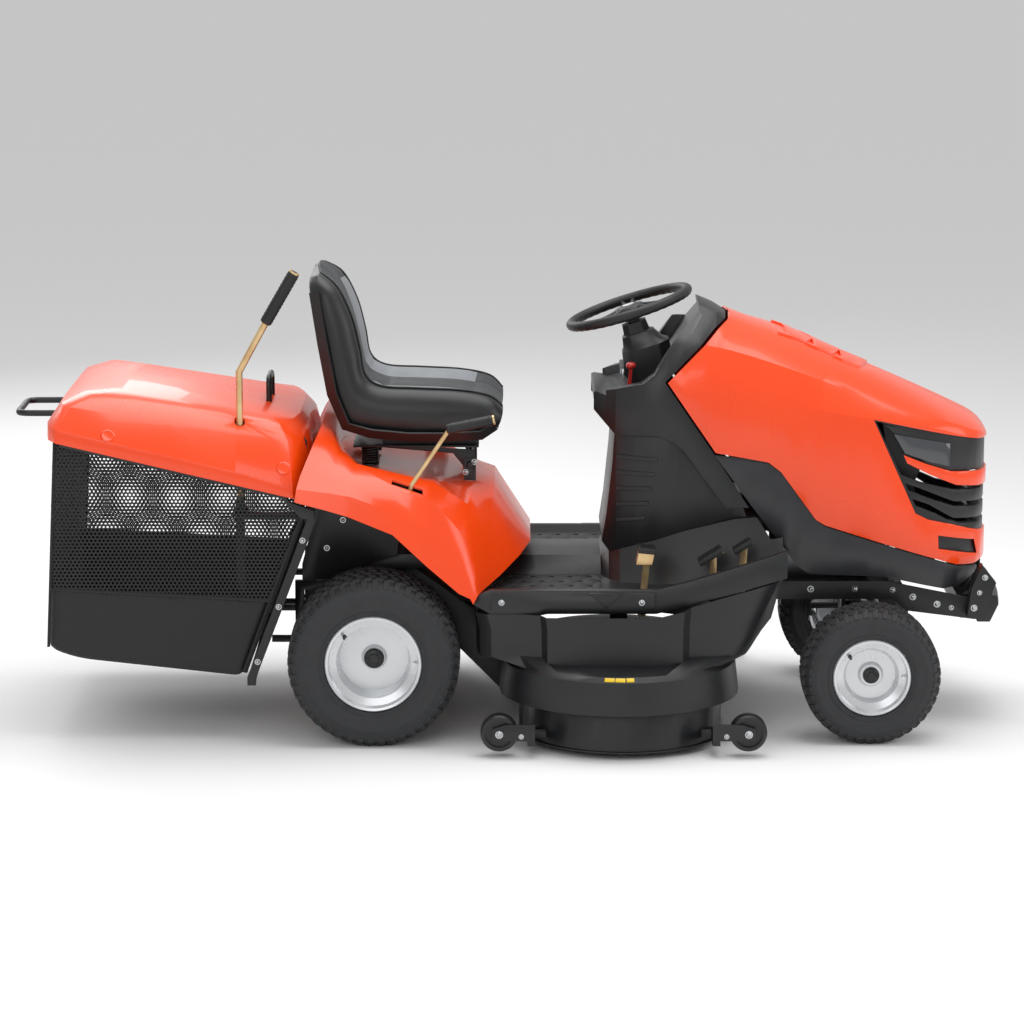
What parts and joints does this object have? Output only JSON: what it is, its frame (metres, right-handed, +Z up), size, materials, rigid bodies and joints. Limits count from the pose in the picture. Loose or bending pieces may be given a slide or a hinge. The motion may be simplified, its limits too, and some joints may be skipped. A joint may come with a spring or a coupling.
{
  "type": "riding lawn mower",
  "caption": "Ride-on lawn mower with a rear grass collector, a mid-mounted two-blade cutting deck, a sprung bucket seat, a tilting hood and steered front wheels.",
  "frame": {"origin": "ground under the middle of the machine's length, on its centre plane", "axes": "+X forward, +Y to the operator's left, +Z up"},
  "size_m": [2.68, 1.288, 1.2575],
  "materials": {
    "orange_shell": "glossy orange-red coated shell",
    "moulded_black": "fine-grained moulded black plastic",
    "bezel_grey": "satin charcoal plastic",
    "black_steel": "satin black powder coat",
    "deck_steel": "satin black powder coat",
    "tyre_rubber": "matt tyre rubber",
    "rubber_black": "soft black rubber",
    "rim_silver": "silver painted steel",
    "zinc_steel": "zinc-plated steel",
    "gold_zinc": "yellow-passivated steel",
    "cast_black": "black painted casting",
    "engine_alloy": "cast alloy",
    "seat_vinyl": "grained black vinyl",
    "mesh_fabric": "open black mesh",
    "lamp_lens": "smoked clear lens",
    "tank_white": "translucent white plastic",
    "red_plastic": "red plastic knob",
    "yellow_plastic": "yellow plastic knob"
  },
  "bodies": {
    "chassis": {"frame": "black_steel", "rear_panel": "black_steel", "bumper": "black_steel", "fender": "orange_shell", "footplate": "moulded_black", "foot_mats": "rubber_black", "side_valances": "moulded_black", "side_shields": "moulded_black", "console": "moulded_black", "knee_panel": "moulded_black", "steering_column": "moulded_black", "engine": "engine_alloy", "battery": "moulded_black", "fuel_tank": "tank_white", "transaxle": "engine_alloy", "grass_chute": "moulded_black"},
    "fuel_cap": {"fuel_cap": "moulded_black"},
    "drive_shaft": {"drive_shaft": "zinc_steel"},
    "hood": {"hood": "orange_shell", "grille": "moulded_black", "hood_bezels": "bezel_grey", "headlamps": "lamp_lens"},
    "rear_wheel_right": {"rear_tyre_right": "tyre_rubber", "rear_rim_right": "rim_silver"},
    "rear_wheel_left": {"rear_tyre_left": "tyre_rubber", "rear_rim_left": "rim_silver"},
    "front_wheel_right": {"front_tyre_right": "tyre_rubber", "front_rim_right": "rim_silver"},
    "front_wheel_left": {"front_tyre_left": "tyre_rubber", "front_rim_left": "rim_silver"},
    "front_axle": {"front_axle": "cast_black"},
    "knuckle_right": {"knuckle_right": "cast_black"},
    "knuckle_left": {"knuckle_left": "cast_black"},
    "tie_rod": {"tie_rod": "zinc_steel"},
    "steering_wheel": {"steering_wheel": "rubber_black"},
    "seat_base": {"seat_bracket": "black_steel", "seat_springs": "zinc_steel"},
    "seat": {"seat_shell": "moulded_black", "seat_cushion": "seat_vinyl"},
    "collector": {"collector_frame": "black_steel", "collector_cover": "orange_shell", "grass_bag": "mesh_fabric", "collector_handles": "rubber_black"},
    "tipping_lever": {"tipping_lever": "gold_zinc"},
    "height_lever": {"height_lever": "gold_zinc"},
    "deck": {"deck_shell": "deck_steel", "deck_belt": "rubber_black"},
    "gauge_wheel_fr": {"gauge_wheel_fr": "moulded_black"},
    "gauge_wheel_fl": {"gauge_wheel_fl": "moulded_black"},
    "gauge_wheel_rr": {"gauge_wheel_rr": "moulded_black"},
    "gauge_wheel_rl": {"gauge_wheel_rl": "moulded_black"},
    "blade_right": {"blade_right": "zinc_steel"},
    "blade_left": {"blade_left": "zinc_steel"},
    "engine_pulley": {"engine_pulley": "zinc_steel"},
    "drive_pedal_forward": {"drive_pedal_forward": "gold_zinc"},
    "drive_pedal_reverse": {"drive_pedal_reverse": "gold_zinc"},
    "brake_pedal": {"brake_pedal": "gold_zinc"},
    "throttle_lever": {"throttle_lever": "red_plastic"},
    "ignition_key": {"ignition_key": "zinc_steel"},
    "blade_switch": {"blade_switch": "yellow_plastic"}
  },
  "joints": [
    {"name": "rear_wheel_right_spin", "type": "hinge", "parent": "chassis", "child": "rear_wheel_right", "pos_m": [-0.357, -0.393, 0.229], "axis": [0, 1, 0], "continuous": true},
    {"name": "rear_wheel_left_spin", "type": "hinge", "parent": "chassis", "child": "rear_wheel_left", "pos_m": [-0.357, 0.393, 0.229], "axis": [0, 1, 0], "continuous": true},
    {"name": "front_axle_rock", "type": "hinge", "parent": "chassis", "child": "front_axle", "pos_m": [0.964, 0, 0.262], "axis": [1, 0, 0], "range_deg": [-6, 6]},
    {"name": "knuckle_right_steer", "type": "hinge", "parent": "front_axle", "child": "knuckle_right", "pos_m": [0.964, -0.296, 0.222], "axis": [0, 0, 1], "range_deg": [-30, 30]},
    {"name": "front_wheel_right_spin", "type": "hinge", "parent": "knuckle_right", "child": "front_wheel_right", "pos_m": [0.964, -0.398, 0.185], "axis": [0, 1, 0], "continuous": true},
    {"name": "knuckle_left_steer", "type": "hinge", "parent": "front_axle", "child": "knuckle_left", "pos_m": [0.964, 0.296, 0.222], "axis": [0, 0, 1], "range_deg": [-30, 30]},
    {"name": "front_wheel_left_spin", "type": "hinge", "parent": "knuckle_left", "child": "front_wheel_left", "pos_m": [0.964, 0.398, 0.185], "axis": [0, 1, 0], "continuous": true},
    {"name": "tie_rod_shift", "type": "slide", "parent": "front_axle", "child": "tie_rod", "axis": [0, 1, 0], "range_m": [-0.048, 0.048]},
    {"name": "steering_wheel_turn", "type": "hinge", "parent": "chassis", "child": "steering_wheel", "pos_m": [0.329, 0, 1.113], "axis": [-0.3007, 0, 0.9537], "range_deg": [-212, 212]},
    {"name": "hood_tilt", "type": "hinge", "parent": "chassis", "child": "hood", "pos_m": [1.285, 0, 0.414], "axis": [0, 1, 0], "range_deg": [0, 70]},
    {"name": "seat_fold", "type": "hinge", "parent": "chassis", "child": "seat_base", "pos_m": [-0.104, 0, 0.704], "axis": [0, 1, 0], "range_deg": [0, 50]},
    {"name": "seat_slide", "type": "slide", "parent": "seat_base", "child": "seat", "axis": [1, 0, 0], "range_m": [0, 0.08]},
    {"name": "collector_tip", "type": "hinge", "parent": "chassis", "child": "collector", "pos_m": [-0.552, 0, 0.785], "axis": [0, 1, 0], "range_deg": [0, 60]},
    {"name": "tipping_lever_pull", "type": "slide", "parent": "collector", "child": "tipping_lever", "axis": [0, 0, 1], "range_m": [0, 0.25]},
    {"name": "deck_lift", "type": "slide", "parent": "chassis", "child": "deck", "axis": [0, 0, 1], "range_m": [0, 0.055]},
    {"name": "height_lever_swing", "type": "hinge", "parent": "chassis", "child": "height_lever", "pos_m": [-0.268, -0.4, 0.64], "axis": [0, -1, 0], "range_deg": [0, 25.2]},
    {"name": "gauge_wheel_rr_spin", "type": "hinge", "parent": "deck", "child": "gauge_wheel_rr", "pos_m": [-0.024, -0.574, 0.066], "axis": [0, 1, 0], "continuous": true},
    {"name": "gauge_wheel_rl_spin", "type": "hinge", "parent": "deck", "child": "gauge_wheel_rl", "pos_m": [-0.024, 0.574, 0.066], "axis": [0, 1, 0], "continuous": true},
    {"name": "gauge_wheel_fr_spin", "type": "hinge", "parent": "deck", "child": "gauge_wheel_fr", "pos_m": [0.63, -0.574, 0.066], "axis": [0, 1, 0], "continuous": true},
    {"name": "gauge_wheel_fl_spin", "type": "hinge", "parent": "deck", "child": "gauge_wheel_fl", "pos_m": [0.63, 0.574, 0.066], "axis": [0, 1, 0], "continuous": true},
    {"name": "blade_right_spin", "type": "hinge", "parent": "deck", "child": "blade_right", "pos_m": [0.305, -0.268, 0.044], "axis": [0, 0, 1], "continuous": true},
    {"name": "blade_left_spin", "type": "hinge", "parent": "deck", "child": "blade_left", "pos_m": [0.305, 0.268, 0.044], "axis": [0, 0, 1], "continuous": true},
    {"name": "engine_pulley_spin", "type": "hinge", "parent": "chassis", "child": "engine_pulley", "pos_m": [0.85, 0, 0.35], "axis": [0, 0, 1], "continuous": true},
    {"name": "drive_shaft_spin", "type": "hinge", "parent": "chassis", "child": "drive_shaft", "pos_m": [0.228, 0.165, 0.302], "axis": [1, 0, 0], "continuous": true},
    {"name": "brake_pedal_press", "type": "hinge", "parent": "chassis", "child": "brake_pedal", "pos_m": [0.356, -0.35, 0.34], "axis": [0, 1, 0], "range_deg": [0, 14], "stiffness_Nm_per_rad": 25, "springref_deg": -20.05},
    {"name": "drive_pedal_forward_press", "type": "hinge", "parent": "chassis", "child": "drive_pedal_forward", "pos_m": [0.546, -0.35, 0.372], "axis": [0, 1, 0], "range_deg": [0, 12], "stiffness_Nm_per_rad": 18, "springref_deg": -17.19},
    {"name": "drive_pedal_reverse_press", "type": "hinge", "parent": "chassis", "child": "drive_pedal_reverse", "pos_m": [0.622, -0.35, 0.384], "axis": [0, 1, 0], "range_deg": [0, 10], "stiffness_Nm_per_rad": 15, "springref_deg": -17.19},
    {"name": "throttle_swing", "type": "hinge", "parent": "chassis", "child": "throttle_lever", "pos_m": [0.322, -0.13, 0.893], "axis": [0, 1, 0], "range_deg": [-8, 22]},
    {"name": "key_turn", "type": "hinge", "parent": "chassis", "child": "ignition_key", "pos_m": [0.318, 0.12, 0.9], "axis": [0, 0, 1], "range_deg": [-70, 0]},
    {"name": "blade_switch_pull", "type": "slide", "parent": "chassis", "child": "blade_switch", "axis": [0, 0, 1], "range_m": [0, 0.008]},
    {"name": "fuel_cap_turn", "type": "hinge", "parent": "chassis", "child": "fuel_cap", "pos_m": [-0.195, 0.31, 0.7], "axis": [0, 0, 1], "range_deg": [0, 90]}
  ],
  "couplings": [
    {"joint": "knuckle_left_steer", "follows": "knuckle_right_steer", "ratio": 1},
    {"joint": "tie_rod_shift", "follows": "knuckle_right_steer", "m_per_rad": -0.0907},
    {"joint": "steering_wheel_turn", "follows": "knuckle_right_steer", "ratio": 7},
    {"joint": "height_lever_swing", "follows": "deck_lift", "rad_per_m": 7.95},
    {"joint": "blade_left_spin", "follows": "blade_right_spin", "ratio": -1}
  ]
}
